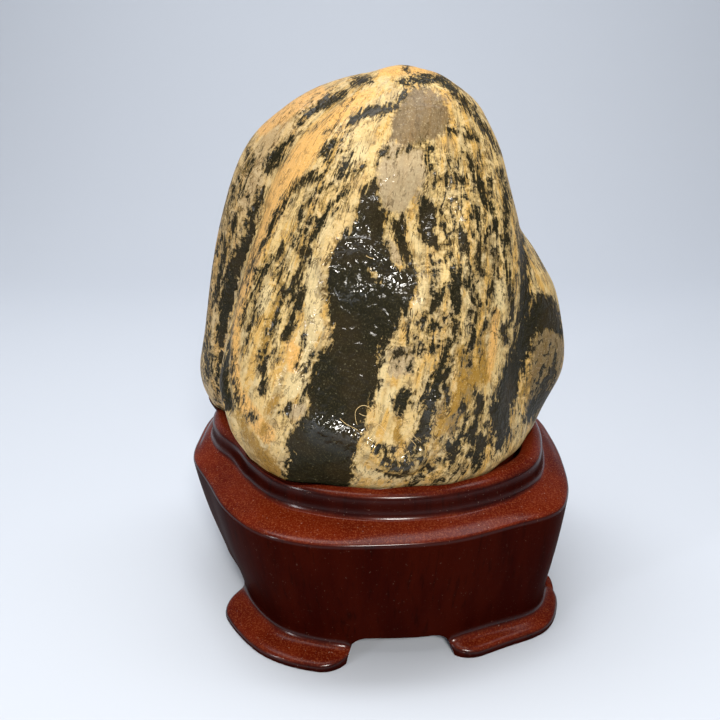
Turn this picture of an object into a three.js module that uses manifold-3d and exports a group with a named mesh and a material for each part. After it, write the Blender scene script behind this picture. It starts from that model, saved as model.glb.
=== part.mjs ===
// A scholar's rock standing in its carved wooden stand.
// Millimetres, +Z up, front towards -Y, origin on the table under the middle of the stand.
// Two pieces: a water-worn stone of three lobes, and a stand cut from one block of wood.

import * as THREE from "three";
import { mergeVertices } from "three/addons/utils/BufferGeometryUtils.js";
import Module from "manifold-3d";

const wasm = await Module();
wasm.setup();

// Driving dimensions
const SHELF_HEIGHT = 34.2; // top of the stand's widest edge
const LIP_HEIGHT = 42.0; // crest of the raised rim round the stone
const SEAT_FLOOR = 36.2; // bottom of the recess inside the rim, where the stone doesn't reach
const STONE_GAP = 0.35; // clearance between the stone and the seat carved for it
const ARCH_HEIGHT = 5.0; // clear height under the stand between its feet

// The stone's lobes, blended in this order. Each is an egg about its centre:
// half width and half depth, rise to its crown and drop to its foot,
// taper towards the crown, sideways and backward lean per millimetre of height,
// and how square it is in plan and how full its crown is (2 is an ellipse).
const LOBES = [
  {
    name: "rear left", centre: [-9, 13, 56], size: [41, 24], rise: 72.5, drop: 30,
    taper: 0.275, lean: [0.08, -0.14], plan: 2.0, crown: 5.0, blend: 0,
  },
  {
    name: "front", centre: [-2, -9, 58], size: [37, 34], rise: 72, drop: 28,
    taper: 0.07, lean: [0.115, 0.1], plan: 2.2, crown: 2.2, blend: 2.5,
  },
  {
    name: "right", centre: [28, 2, 62], size: [21.5, 24], rise: 36, drop: 18.5,
    taper: 0, lean: [-0.1, 0], plan: 2.0, crown: 2.0, blend: 4,
  },
  {
    name: "foot", centre: [4.5, -1, 45], size: [36.5, 37.5], rise: 22, drop: 12,
    taper: 0, lean: [0, 0], plan: 2.2, crown: 2.2, blend: 7,
  },
];

// Hollows worn into the stone: the foot of the left groove, and the step under the crown.
const HOLLOWS = [
  { centre: [-45, -19, 43], size: [13.5, 13], rise: 17, drop: 17, blend: 4 },
  { centre: [9, -49.5, 104], size: [17, 22], rise: 12, drop: 22, blend: 3 },
];

// Broad swells of the worn surface: height, pitch along x, y and z, and where each starts.
const SWELLS = [
  { height: 0.35, pitch: [47, 57, 120], start: 0.3 },
  { height: 0.25, pitch: [-31, 35, 140], start: 1.9 },
  { height: 0.18, pitch: [21, -31, 90], start: 4.1 },
  { height: 0.14, pitch: [15, 26, -75], start: 2.6 },
  { height: 0.1, pitch: [-12, 15, 33], start: 5.2 },
];

const STONE_HEART = [0, 0, 62]; // point inside the stone that sees its whole surface
const STONE_REACH = 100; // farther from the heart than any of the stone
const STONE_DETAIL = 13; // subdivisions of each icosahedron edge

// Plan of the shelf, the stand's widest edge: corner points as [x, y].
const SHELF_PLAN = [
  [50, 3], [49.2, 17], [43, 33], [28, 44.5], [8, 49.6], [-14, 48.9], [-32, 42.5], [-43.5, 32],
  [-49, 18], [-49.8, 3], [-48.8, -9], [-42.2, -22.5], [-35.2, -35.7], [-26, -45.2], [-14, -49.6],
  [0, -49.9], [15, -48], [29, -42.3], [41.5, -35.9], [46.4, -26.5], [49.2, -11],
];

// Plan of the rim's outer wall. It follows the stone, so it turns in at the left groove.
const RIM_PLAN = [
  [44.8, 0], [43, 15.5], [35.8, 28.5], [21, 38.8], [0, 43.2], [-21, 39.8], [-36.5, 30],
  [-44.5, 16], [-46, 2], [-42.5, -9], [-36.6, -17.4], [-31.3, -27], [-23.2, -36.6],
  [-11.2, -42], [1.5, -43.8], [15.3, -42], [29.8, -35.4], [38.6, -27], [43.3, -14],
];

// How far the wall draws in from the shelf's edge on its way down to the table.
const WALL_TAPER = 5.5; // at the front and back
const LEFT_TAPER = 2.0; // this much more on the left, and less on the right
const PAD_OVERHANG = 0.25; // how far a foot's pad stands out past the shelf's edge

// Section of the stand's side, from the table up: height, share of the wall's taper,
// and how far a foot reaches from the wall out to the edge of its pad.
const SIDE = [
  [0, 1.04, 0.96],
  [0.5, 1.04, 1],
  [1.5, 1.03, 0.98],
  [2.2, 1.02, 0.84],
  [2.7, 1.01, 0.5],
  [3.3, 1, 0.22],
  [4.2, 0.97, 0.07],
  [6, 0.92, 0],
  [9, 0.8, 0],
  [19, 0.4, 0],
  [27, 0.15, 0],
  [31, 0.05, 0],
  [32.8, 0.01, 0],
];

// Section of the shelf's rounded edge: height and inset from the shelf plan.
const SHELF_EDGE = [
  [33.6, 0.3],
  [SHELF_HEIGHT, 1.3],
  [34.9, 4.2],
];

// Section of the rim: height and inset from the rim plan.
const RIM = [
  [35.6, -0.8],
  [36.1, 0.1],
  [37.4, 0.6],
  [40, 0.8],
  [41.2, 1.4],
  [LIP_HEIGHT, 3],
  [41.9, 4.6],
  [41.2, 6],
  [38.5, 6.9],
  [SEAT_FLOOR, 7.6],
];

const PLAN_STEPS = 84; // points round the stand
const SAMPLES_PER_CORNER = 60;

// Feet at the four corners, as the angles where each starts and ends.
const FEET = [[213, 262], [291, 336.5], [24, 70], [112, 152]];
const FOOT_ROUNDING = 8; // degrees over which a foot's end rounds off

// Arched gaps under the stand: along y between the front feet, and along x between the side feet.
const FRONT_ARCH = { low: -7.5, high: 17.5 };
const SIDE_ARCH = { low: -23, high: 22 };
const ARCH_SPRING = 1; // height at which the arch leaves a foot
const ARCH_SHOULDER = 6; // width over which it curves up to its flat top
const ARCH_LENGTH = 120;

// Small helpers

const TURN = 2 * Math.PI;

// Rises from 0 to 1 along a quarter circle.
function roundStep(low, high, value) {
  const rest = 1 - THREE.MathUtils.clamp((value - low) / (high - low), 0, 1);
  return Math.sqrt(1 - rest * rest);
}

function smoothUnion(a, b, blend) {
  if (blend === 0) return Math.min(a, b);
  const share = Math.max(blend - Math.abs(a - b), 0) / blend;
  return Math.min(a, b) - (share * share * blend) / 4;
}

const smoothCut = (body, tool, blend) => -smoothUnion(-body, tool, blend);

function meshOf(geometry) {
  const plain = new THREE.BufferGeometry();
  plain.setAttribute("position", geometry.getAttribute("position"));
  if (geometry.index) plain.setIndex(geometry.index);
  return mergeVertices(plain, 1e-4);
}

function solidOf(geometry) {
  const merged = meshOf(geometry);
  return new wasm.Manifold(
    new wasm.Mesh({
      numProp: 3,
      vertProperties: new Float32Array(merged.getAttribute("position").array),
      triVerts: new Uint32Array(merged.index.array),
    }),
  );
}

function geometryOf(solid) {
  const mesh = solid.getMesh();
  const geometry = new THREE.BufferGeometry();
  geometry.setAttribute("position", new THREE.BufferAttribute(mesh.vertProperties, 3));
  geometry.setIndex(new THREE.BufferAttribute(mesh.triVerts, 1));
  geometry.computeVertexNormals();
  return geometry;
}

// The stone

// Rough distance in millimetres from an egg's surface, below zero inside it.
function eggDistance(egg, x, y, z) {
  const { centre, size, rise, drop, taper = 0, lean = [0, 0], plan = 2, crown = 2 } = egg;
  const up = z - centre[2];
  const reach = up > 0 ? rise : drop;
  const narrowing = 1 - taper * THREE.MathUtils.clamp(up / rise, -0.6, 1.2);
  const halfX = size[0] * narrowing;
  const halfY = size[1] * narrowing;
  const u = Math.abs(x - centre[0] - lean[0] * up) / halfX;
  const v = Math.abs(y - centre[1] - lean[1] * up) / halfY;
  const w = Math.abs(up) / reach;
  const power = up > 0 ? crown : 2;
  const radius = Math.sqrt((u ** plan + v ** plan) ** (2 / plan) + w ** power);
  const slope = Math.hypot(u / halfX, v / halfY, ((power / 2) * w ** (power - 1)) / reach);
  return (radius - 1) / Math.max(slope / Math.max(radius, 1e-6), 1e-3);
}

function swellHeight(x, y, z) {
  let height = 0;
  for (const { height: crest, pitch, start } of SWELLS) {
    height += crest * Math.sin(TURN * (x / pitch[0] + y / pitch[1] + z / pitch[2]) + start);
  }
  return height;
}

function stoneDistance(x, y, z) {
  let distance = Infinity;
  for (const lobe of LOBES) {
    const next = eggDistance(lobe, x, y, z);
    distance = distance === Infinity ? next : smoothUnion(distance, next, lobe.blend);
  }
  for (const hollow of HOLLOWS) {
    distance = smoothCut(distance, eggDistance(hollow, x, y, z), hollow.blend);
  }
  return distance - swellHeight(x, y, z);
}

// How far the stone's surface, grown by offset, lies from the heart in one direction.
function stoneRadius(direction, offset) {
  let inside = 0;
  let outside = STONE_REACH;
  for (let step = 0; step < 40; step += 1) {
    const middle = (inside + outside) / 2;
    const x = STONE_HEART[0] + direction.x * middle;
    const y = STONE_HEART[1] + direction.y * middle;
    const z = STONE_HEART[2] + direction.z * middle;
    if (stoneDistance(x, y, z) < offset) inside = middle;
    else outside = middle;
  }
  return inside;
}

function stoneGeometry(offset) {
  const geometry = meshOf(new THREE.IcosahedronGeometry(1, STONE_DETAIL));
  const position = geometry.getAttribute("position");
  const direction = new THREE.Vector3();
  for (let i = 0; i < position.count; i += 1) {
    direction.fromBufferAttribute(position, i).normalize();
    const radius = stoneRadius(direction, offset);
    position.setXYZ(
      i,
      STONE_HEART[0] + direction.x * radius,
      STONE_HEART[1] + direction.y * radius,
      STONE_HEART[2] + direction.z * radius,
    );
  }
  geometry.computeVertexNormals();
  return geometry;
}

// The stand

// Distance of a closed smooth plan from the middle, at each of the stand's directions.
function planRadii(points) {
  const corners = points.map(([x, y]) => new THREE.Vector3(x, y, 0));
  const samples = new THREE.CatmullRomCurve3(corners, true, "centripetal")
    .getPoints(points.length * SAMPLES_PER_CORNER)
    .map((p) => ({ angle: (Math.atan2(p.y, p.x) + TURN) % TURN, radius: Math.hypot(p.x, p.y) }))
    .sort((a, b) => a.angle - b.angle);
  return Array.from({ length: PLAN_STEPS }, (_, i) => {
    const next = samples.find(({ angle }) => angle >= (TURN * i) / PLAN_STEPS);
    return (next ?? samples[0]).radius;
  });
}

// One over a foot, zero between the feet.
function footShare(degrees) {
  let share = 0;
  for (const [start, end] of FEET) {
    const fromStart = roundStep(start, start + FOOT_ROUNDING, degrees);
    const fromEnd = roundStep(-end, FOOT_ROUNDING - end, -degrees);
    share = Math.max(share, Math.min(fromStart, fromEnd));
  }
  return share;
}

function standBlank() {
  const shelf = planRadii(SHELF_PLAN);
  const rim = planRadii(RIM_PLAN);
  const sideRadius = (i, taperShare, footReach) => {
    const angle = (TURN * i) / PLAN_STEPS;
    const wall = taperShare * (WALL_TAPER - LEFT_TAPER * Math.cos(angle));
    const reach = footReach * footShare((360 * i) / PLAN_STEPS);
    return shelf[i] - wall + reach * (wall + PAD_OVERHANG);
  };
  const rings = SIDE.map(([height, taperShare, footReach]) => ({
    height,
    radius: (i) => sideRadius(i, taperShare, footReach),
  }));
  rings.push(...SHELF_EDGE.map(([height, inset]) => ({ height, radius: (i) => shelf[i] - inset })));
  rings.push(...RIM.map(([height, inset]) => ({ height, radius: (i) => rim[i] - inset })));

  const vertices = [];
  for (const ring of rings) {
    for (let i = 0; i < PLAN_STEPS; i += 1) {
      const angle = (TURN * i) / PLAN_STEPS;
      vertices.push(ring.radius(i) * Math.cos(angle), ring.radius(i) * Math.sin(angle), ring.height);
    }
  }
  const bottom = vertices.length / 3;
  vertices.push(0, 0, rings[0].height);
  vertices.push(0, 0, rings.at(-1).height);

  const faces = [];
  const top = bottom + 1;
  const lastRing = (rings.length - 1) * PLAN_STEPS;
  for (let i = 0; i < PLAN_STEPS; i += 1) {
    const j = (i + 1) % PLAN_STEPS;
    faces.push(bottom, j, i);
    faces.push(top, lastRing + i, lastRing + j);
    for (let level = 0; level < rings.length - 1; level += 1) {
      const low = level * PLAN_STEPS;
      const high = low + PLAN_STEPS;
      faces.push(low + i, low + j, high + j);
      faces.push(low + i, high + j, high + i);
    }
  }
  const geometry = new THREE.BufferGeometry();
  geometry.setAttribute("position", new THREE.Float32BufferAttribute(vertices, 3));
  geometry.setIndex(faces);
  return geometry;
}

// A flat-topped arch that runs right through, with its opening between low and high.
function archGeometry({ low, high }) {
  const section = new THREE.Shape();
  section.moveTo(low, -1);
  section.lineTo(high, -1);
  section.lineTo(high, ARCH_SPRING);
  section.bezierCurveTo(
    high - ARCH_SHOULDER / 4, ARCH_HEIGHT * 0.8,
    high - ARCH_SHOULDER / 2, ARCH_HEIGHT,
    high - ARCH_SHOULDER, ARCH_HEIGHT,
  );
  section.lineTo(low + ARCH_SHOULDER, ARCH_HEIGHT);
  section.bezierCurveTo(
    low + ARCH_SHOULDER / 2, ARCH_HEIGHT,
    low + ARCH_SHOULDER / 4, ARCH_HEIGHT * 0.8,
    low, ARCH_SPRING,
  );
  section.closePath();
  const geometry = new THREE.ExtrudeGeometry(section, {
    depth: ARCH_LENGTH,
    bevelEnabled: false,
    curveSegments: 5,
  });
  geometry.translate(0, 0, -ARCH_LENGTH / 2);
  return geometry.rotateX(Math.PI / 2);
}

function standGeometry() {
  const alongY = solidOf(archGeometry(FRONT_ARCH));
  const alongX = solidOf(archGeometry(SIDE_ARCH).rotateZ(Math.PI / 2));
  const seat = solidOf(stoneGeometry(STONE_GAP));
  return geometryOf(solidOf(standBlank()).subtract(alongY).subtract(alongX).subtract(seat));
}

// The pieces

const stone = new THREE.Mesh(
  stoneGeometry(0),
  new THREE.MeshStandardMaterial({ color: 0x9a8a66, roughness: 0.25, metalness: 0 }),
);
stone.name = "stone";

const stand = new THREE.Mesh(
  standGeometry(),
  new THREE.MeshStandardMaterial({ color: 0x3f120d, roughness: 0.35, metalness: 0 }),
);
stand.name = "stand";

const rockOnStand = new THREE.Group();
rockOnStand.name = "scholars_rock";
rockOnStand.add(stone, stand);

export default rockOnStand;
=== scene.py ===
"""A scholar's rock in its wooden stand: fine meshes, materials, light and camera."""

import math

import bpy
import numpy as np
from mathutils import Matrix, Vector


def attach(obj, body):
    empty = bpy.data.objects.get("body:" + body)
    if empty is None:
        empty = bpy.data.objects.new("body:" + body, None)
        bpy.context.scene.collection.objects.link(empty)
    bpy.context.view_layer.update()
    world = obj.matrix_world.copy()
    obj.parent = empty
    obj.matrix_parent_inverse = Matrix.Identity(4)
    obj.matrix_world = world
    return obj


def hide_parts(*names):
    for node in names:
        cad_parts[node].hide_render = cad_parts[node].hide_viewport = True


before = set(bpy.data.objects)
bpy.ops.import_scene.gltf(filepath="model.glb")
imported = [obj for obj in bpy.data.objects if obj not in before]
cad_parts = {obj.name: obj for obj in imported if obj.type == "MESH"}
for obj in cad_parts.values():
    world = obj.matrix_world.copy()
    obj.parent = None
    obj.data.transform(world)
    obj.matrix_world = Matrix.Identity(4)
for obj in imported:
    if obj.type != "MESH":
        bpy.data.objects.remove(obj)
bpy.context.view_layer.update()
scene = bpy.context.scene
MM = 0.001

# The stone's form, in millimetres. Lobes are eggs about a centre, each with its half width and depth, rise,
# drop, taper, lean, powers of its plan and crown, and how softly it blends in.
ROUND = dict(taper=0, lean=(0, 0), plan=2.0, crown=2.0)
LOBES = [
    dict(centre=(-9, 13, 56), size=(41, 24), rise=72.5, drop=30, taper=0.275,
         lean=(0.08, -0.14), plan=2.0, crown=5.0, blend=0),
    dict(centre=(-2, -9, 58), size=(37, 34), rise=72, drop=28, taper=0.07,
         lean=(0.115, 0.1), plan=2.2, crown=2.2, blend=2.5),
    dict(ROUND, centre=(28, 2, 62), size=(21.5, 24), rise=36, drop=18.5, lean=(-0.1, 0), blend=4),
    dict(ROUND, centre=(4.5, -1, 45), size=(36.5, 37.5), rise=22, drop=12, plan=2.2, crown=2.2, blend=7),
]
HOLLOWS = [
    dict(ROUND, centre=(-45, -19, 43), size=(13.5, 13), rise=17, drop=17, blend=4),
    dict(ROUND, centre=(9, -49.5, 104), size=(17, 22), rise=12, drop=22, blend=3),
]
# Broad swells: height, pitch along x, y and z, and where each starts.
SWELLS = [
    (0.35, (47, 57, 120), 0.3),
    (0.25, (-31, 35, 140), 1.9),
    (0.18, (21, -31, 90), 4.1),
    (0.14, (15, 26, -75), 2.6),
    (0.1, (-12, 15, 33), 5.2),
]
STONE_HEART = np.array([0.0, 0.0, 62.0])
STONE_REACH = 100.0
STONE_GRID = 118
STONE_SPREAD = np.array([46.0, 40.0, 62.0])


def egg_distance(egg, p):
    """Rough distance from an egg's surface, below zero inside it."""
    up = p[:, 2] - egg["centre"][2]
    reach = np.where(up > 0, egg["rise"], egg["drop"])
    narrowing = 1 - egg["taper"] * np.clip(up / egg["rise"], -0.6, 1.2)
    half_x = egg["size"][0] * narrowing
    half_y = egg["size"][1] * narrowing
    u = np.abs(p[:, 0] - egg["centre"][0] - egg["lean"][0] * up) / half_x
    v = np.abs(p[:, 1] - egg["centre"][1] - egg["lean"][1] * up) / half_y
    w = np.abs(up) / reach
    power = np.where(up > 0, egg["crown"], 2.0)
    plan = egg["plan"]
    radius = np.sqrt((u ** plan + v ** plan) ** (2 / plan) + w ** power)
    slope = np.sqrt((u / half_x) ** 2 + (v / half_y) ** 2 + (power / 2 * w ** (power - 1) / reach) ** 2)
    return (radius - 1) / np.maximum(slope / np.maximum(radius, 1e-6), 1e-3)


def smooth_union(a, b, blend):
    """The nearer of two distances, rounded where they meet."""
    if blend == 0:
        return np.minimum(a, b)
    share = np.maximum(blend - np.abs(a - b), 0) / blend
    return np.minimum(a, b) - share * share * blend / 4


def stone_distance(p):
    """Rough distance in millimetres from the stone's surface, below zero inside it."""
    distance = egg_distance(LOBES[0], p)
    for lobe in LOBES[1:]:
        distance = smooth_union(distance, egg_distance(lobe, p), lobe["blend"])
    for hollow in HOLLOWS:
        distance = -smooth_union(-distance, egg_distance(hollow, p), hollow["blend"])
    for height, pitch, start in SWELLS:
        phase = p[:, 0] / pitch[0] + p[:, 1] / pitch[1] + p[:, 2] / pitch[2]
        distance = distance - height * np.sin(2 * math.pi * phase + start)
    return distance


def cast_out(origins, directions, reach, offset=0.0, steps=26):
    """Where rays from inside the stone cross its surface grown by offset."""
    inside = np.zeros(len(directions))
    outside = np.full(len(directions), float(reach))
    for _ in range(steps):
        middle = (inside + outside) / 2
        within = stone_distance(origins + directions * middle[:, None]) < offset
        inside = np.where(within, middle, inside)
        outside = np.where(within, outside, middle)
    return inside


def lattice_noise(p, seed=0):
    """Smooth noise from 0 to 1 at points given in lattice units, for relief and layout."""
    cell = np.floor(p).astype(np.int64)
    part = p - cell
    part = part * part * (3 - 2 * part)
    total = np.zeros(len(p))
    for corner in range(8):
        step = np.array([corner & 1, corner >> 1 & 1, corner >> 2 & 1])
        key = (cell + step) @ np.array([73856093, 19349663, 83492791]) + seed * 2654435761
        key = (key ^ (key >> 13)) * 1274126177 & 0x7FFFFFFF
        key = (key ^ (key >> 16)) * 668265263 & 0x7FFFFFFF
        value = (key >> 7 & 0xFFFF) / 65535.0
        weight = np.prod(np.where(step == 1, part, 1 - part), axis=1)
        total += value * weight
    return total


def cloud(p, octaves=3, seed=0):
    """Lattice noise at several pitches, each finer and weaker than the last."""
    total = np.zeros(len(p))
    weight = 1.0
    whole = 0.0
    for octave in range(octaves):
        total += weight * lattice_noise(p * 2.03 ** octave + 17.1 * octave, seed + octave)
        whole += weight
        weight *= 0.5
    return total / whole


def ease(low, high, value):
    """Zero at low, one at high, with soft ends."""
    t = np.clip((value - low) / (high - low), 0, 1)
    return t * t * (3 - 2 * t)


# The camera, whose 720-wide view also places the stone's marks.
EYE = np.array([-4.3, -174.5, 118.0])
PITCH_DOWN = math.radians(19.03)
FOCAL = 690.0
VIEW_SIDE = 720
SENSOR_WIDTH = 36
FAR_OUTSIDE = -60.0  # how far from every mark a place is at most taken to lie


def seen_at(p):
    """Place in the 720-wide view and depth of points in millimetres."""
    q = p - EYE
    forward = q[:, 1] * math.cos(PITCH_DOWN) - q[:, 2] * math.sin(PITCH_DOWN)
    rise = q[:, 1] * math.sin(PITCH_DOWN) + q[:, 2] * math.cos(PITCH_DOWN)
    half = VIEW_SIDE / 2
    return np.stack([half + FOCAL * q[:, 0] / forward, half - FOCAL * rise / forward], 1), forward


def gap_to_line(places, start, end):
    """Distance from each place to a straight line's nearest point, and that point's share of the way."""
    along = np.array([end[0] - start[0], end[1] - start[1]], float)
    offset = places - np.array(start)
    t = np.clip(offset @ along / max(along @ along, 1e-6), 0, 1)
    return np.hypot(offset[:, 0] - t * along[0], offset[:, 1] - t * along[1]), t


def stroke_reach(places, strokes):
    """How far inside the nearest stroke each place lies; strokes list (x, y, half width) along a line."""
    best = np.full(len(places), FAR_OUTSIDE)
    for stroke in strokes:
        for (x0, y0, w0), (x1, y1, w1) in zip(stroke, stroke[1:]):
            gap, t = gap_to_line(places, (x0, y0), (x1, y1))
            best = np.maximum(best, w0 + (w1 - w0) * t - gap)
    return best


def line_reach(places, line):
    """The same for a thin line of (x, y) points: zero on it, below zero beside it."""
    return stroke_reach(places, [[(x, y, 0) for x, y in line]])


def patch_reach(places, patches):
    """How far inside the nearest closed patch each place lies."""
    best = np.full(len(places), FAR_OUTSIDE)
    for patch in patches:
        gap = np.full(len(places), np.inf)
        inside = np.zeros(len(places), bool)
        for (x0, y0), (x1, y1) in zip(patch, patch[1:] + patch[:1]):
            gap = np.minimum(gap, gap_to_line(places, (x0, y0), (x1, y1))[0])
            crosses = (y0 > places[:, 1]) != (y1 > places[:, 1])
            at = x0 + (places[:, 1] - y0) / (y1 - y0 if y1 != y0 else 1e-9) * (x1 - x0)
            inside ^= crosses & (places[:, 0] < at)
        best = np.maximum(best, np.where(inside, gap, -gap))
    return best


# Marks on the side that faces the camera, placed in its 720-wide view.
BLACK_PATCHES = [
    [(371, 177), (377, 181), (378, 196), (384, 211), (397, 218), (405, 222), (404, 236), (411, 254),
     (415, 272), (416, 285), (410, 303), (401, 318), (392, 333), (382, 348), (380, 362), (376, 375),
     (376, 389), (371, 399), (367, 410), (363, 425), (359, 434), (356, 451), (353, 467), (350, 480),
     (348, 502), (292, 500), (286, 482), (284, 470), (291, 454), (285, 442), (291, 432), (302, 421),
     (309, 408), (304, 393), (313, 370), (319, 352), (331, 345), (337, 333), (329, 321), (326, 297),
     (328, 268), (333, 252), (343, 236), (353, 226), (356, 208), (364, 190)],
    [(424, 198), (432, 205), (436, 222), (431, 238), (422, 232), (418, 220)],
    [(394, 408), (397, 395), (404, 390), (411, 394), (409, 402), (401, 413)],
    [(467, 129), (478, 137), (479, 142), (467, 140)],
    [(350, 82), (358, 77), (371, 76), (372, 81), (362, 85), (352, 86)],
    [(538, 293), (552, 298), (561, 315), (563, 340), (556, 332), (548, 330), (538, 332), (530, 345),
     (522, 372), (515, 400), (508, 425), (494, 428), (497, 405), (504, 387), (511, 369), (520, 347),
     (525, 326), (529, 306)],
    [(556, 352), (556, 372), (548, 398), (534, 420), (522, 424), (530, 402), (543, 380)],
]
BLACK_STREAKS = [
    [(309, 250, 3), (303, 262, 4), (297, 276, 4), (290, 292, 3)],
    [(302, 290, 3), (297, 305, 4), (290, 322, 4), (284, 338, 4)],
    [(281, 300, 2.5), (276, 318, 3), (270, 336, 3)],
    [(401, 82, 2), (420, 79, 4), (441, 79, 4), (456, 92, 4), (472, 111, 3), (490, 136, 3), (499, 153, 2)],
    [(306, 113, 3), (325, 103, 5), (344, 94, 3)],
    [(347, 133, 1), (355, 119, 2), (369, 112, 4), (381, 111, 4), (395, 107, 2.5), (406, 91, 1.5)],
    [(328, 132, 1), (337, 126, 1)], [(323, 153, 1.5), (330, 145, 3), (335, 141, 2)],
    [(332, 152, 1), (330, 160, 2), (326, 170, 2), (316, 179, 2.5)],
    [(311, 176, 3), (298, 186, 2), (288, 198, 2), (278, 211, 1.8), (268, 237, 1.3), (260, 246, 1),
     (253, 258, 1), (249, 270, 1), (240, 288, 0.8), (233, 305, 0.6)],
    [(369, 162, 0.8), (358, 171, 1), (339, 177, 1.2), (320, 190, 1), (302, 206, 1.2), (300, 216, 1.5)],
    [(324, 214, 2), (318, 228, 2.5), (310, 240, 2), (303, 252, 2)],
    [(350, 190, 0.6), (336, 200, 1.6), (324, 214, 2)], [(392, 147, 1), (381, 155, 0.9), (374, 167, 0.8)],
    [(426, 144, 2), (427, 160, 3), (432, 168, 2)], [(446, 128, 3), (457, 132, 2)],
    [(432, 212, 5), (428, 228, 4), (434, 240, 3), (439, 249, 2)],
    [(403, 218, 2), (399, 226, 3), (402, 242, 4), (407, 262, 4)],
    [(440, 212, 1), (448, 238, 1.8), (446, 248, 2), (445, 260, 1.8)], [(461, 232, 1), (465, 243, 1.3)],
    [(463, 151, 1.5), (471, 163, 2), (467, 175, 1.3)], [(478, 151, 1.6), (484, 163, 2)],
    [(477, 167, 1), (482, 190, 2.4), (485, 203, 2.6), (488, 209, 1.5)],
    [(488, 177, 1), (490, 197, 1.2), (496, 221, 1.6), (502, 240, 1)],
    [(501, 172, 2), (508, 199, 3), (505, 223, 2.5), (507, 248, 1.8), (507, 266, 1.6), (511, 282, 1.8),
     (512, 314, 1.8)], [(474, 206, 1.4), (478, 217, 1.8), (485, 235, 1.2)],
    [(513, 190, 1.5), (521, 207, 1.5), (533, 235, 1.4), (545, 266, 1.2)],
    # The next band runs down the crease between the front and right lobes: partly black mineral, partly
    # painted shade in the crease.
    [(520, 226, 2), (522, 246, 3), (525, 279, 6), (525, 303, 6), (526, 327, 8), (522, 345, 9),
     (514, 369, 10), (507, 390, 10), (500, 410, 10), (500, 430, 9)],
    [(482, 235, 2), (478, 252, 3), (480, 270, 2.5)], [(420, 230, 3), (431, 240, 3.6), (438, 249, 2.5)],
    [(453, 237, 1.4), (446, 246, 1.6), (450, 258, 1.6), (452, 268, 2.5), (457, 279, 3.4), (457, 298, 3.4),
     (457, 313, 3.2), (455, 333, 2.6), (453, 343, 1.5)],
    [(446, 284, 3), (442, 294, 3.4), (436, 303, 3), (428, 314, 2.4), (420, 322, 1.8)],
    [(432, 322, 2.4), (429, 334, 3.2), (432, 349, 1.8)], [(486, 230, 1.2), (484, 243, 1.2)],
    [(477, 295, 1.4), (481, 309, 3), (477, 318, 2), (474, 336, 1.5)],
    [(493, 281, 1), (489, 291, 1.4), (486, 303, 1.2)], [(512, 321, 2), (504, 330, 4.4), (505, 340, 2)],
    [(452, 342, 2.4), (445, 357, 3.6), (441, 370, 3), (429, 382, 2.4), (427, 397, 2.2)],
    [(473, 392, 2.5), (481, 406, 5), (476, 424, 6), (470, 440, 5)],
    [(438, 368, 2), (438, 384, 4), (431, 400, 6), (425, 418, 6.5), (421, 438, 6), (412, 452, 4.5),
     (398, 462, 4), (384, 458, 3)], [(372, 440, 2), (378, 448, 3), (390, 452, 3)],
    [(446, 340, 2), (447, 360, 2.5), (445, 384, 2), (447, 404, 2)],
    [(462, 400, 2), (466, 420, 3), (458, 440, 4), (452, 462, 4)],
    [(484, 424, 3), (480, 445, 5), (474, 468, 4)], [(504, 426, 5), (500, 446, 5)],
    [(411, 404, 1), (425, 398, 0.9)], [(431, 346, 2), (433, 352, 1.2)],
    [(283, 245, 0.8), (278, 254, 1.2), (265, 265, 2.6), (260, 271, 3.2), (258, 281, 2.6), (251, 298, 1.6),
     (246, 305, 1.2), (243, 322, 1.2), (240, 334, 0.7)],
    [(256, 303, 1), (252, 320, 1.3), (248, 338, 1.3), (246, 352, 0.8)], [(279, 272, 2.6), (277, 280, 2.2)],
    [(263, 351, 3), (264, 375, 2.4), (263, 392, 1.4)], [(302, 336, 1), (300, 351, 1), (297, 364, 0.9)],
    [(313, 357, 1), (306, 371, 1.3)], [(276, 412, 1.2), (288, 406, 1.6), (302, 401, 1.6), (309, 399, 2)],
    [(286, 409, 1), (284, 422, 1)], [(232, 350, 1.5), (231, 362, 2.5), (230, 372, 1.5)],
    [(233, 380, 1.5), (236, 392, 2.4), (238, 402, 1.2)], [(250, 416, 2), (256, 421, 1)],
    # The next band, the widest, runs along the groove between the front and rear-left lobes: partly black
    # mineral, partly painted shade in the groove.
    [(254, 226, 3), (241, 252, 7), (233, 272, 7.5), (228, 291, 7), (224, 315, 6.5), (222, 339, 6),
     (221, 363, 6), (222, 388, 6), (226, 405, 6)],
    [(388, 158, 0.5), (400, 154, 1), (412, 148, 1.2), (424, 143, 1.6), (432, 150, 2)],
    [(290, 138, 2), (279, 150, 3), (268, 170, 3)], [(264, 190, 3), (255, 208, 4), (246, 226, 3)],
    [(238, 214, 1.5), (229, 240, 2.4), (222, 265, 2), (215, 300, 2)],
    [(210, 322, 2), (206, 350, 2.4), (208, 380, 1.6)],
    [(440, 440, 2), (452, 452, 3), (470, 455, 3), (490, 444, 4)],
    [(380, 470, 2), (400, 474, 2.4), (430, 468, 2)], [(406, 69, 2), (407, 66, 1.5)],
    [(283, 157, 2.5), (276, 165, 2)],
]
ORANGE_BANDS = [
    [(372, 92, 5), (352, 104, 7), (330, 122, 9), (310, 146, 11), (291, 172, 12), (274, 205, 11),
     (262, 232, 9), (253, 260, 7), (243, 296, 6), (236, 330, 6), (233, 358, 5), (238, 392, 5),
     (252, 416, 8), (268, 436, 8)],
    [(384, 72, 5), (412, 69, 6), (438, 71, 5)],
    [(262, 130, 5), (285, 113, 7), (320, 93, 7)],
    [(287, 340, 4), (295, 352, 8), (293, 366, 6)],
    [(496, 310, 3), (494, 330, 4), (492, 352, 4), (488, 380, 3)],
]
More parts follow.
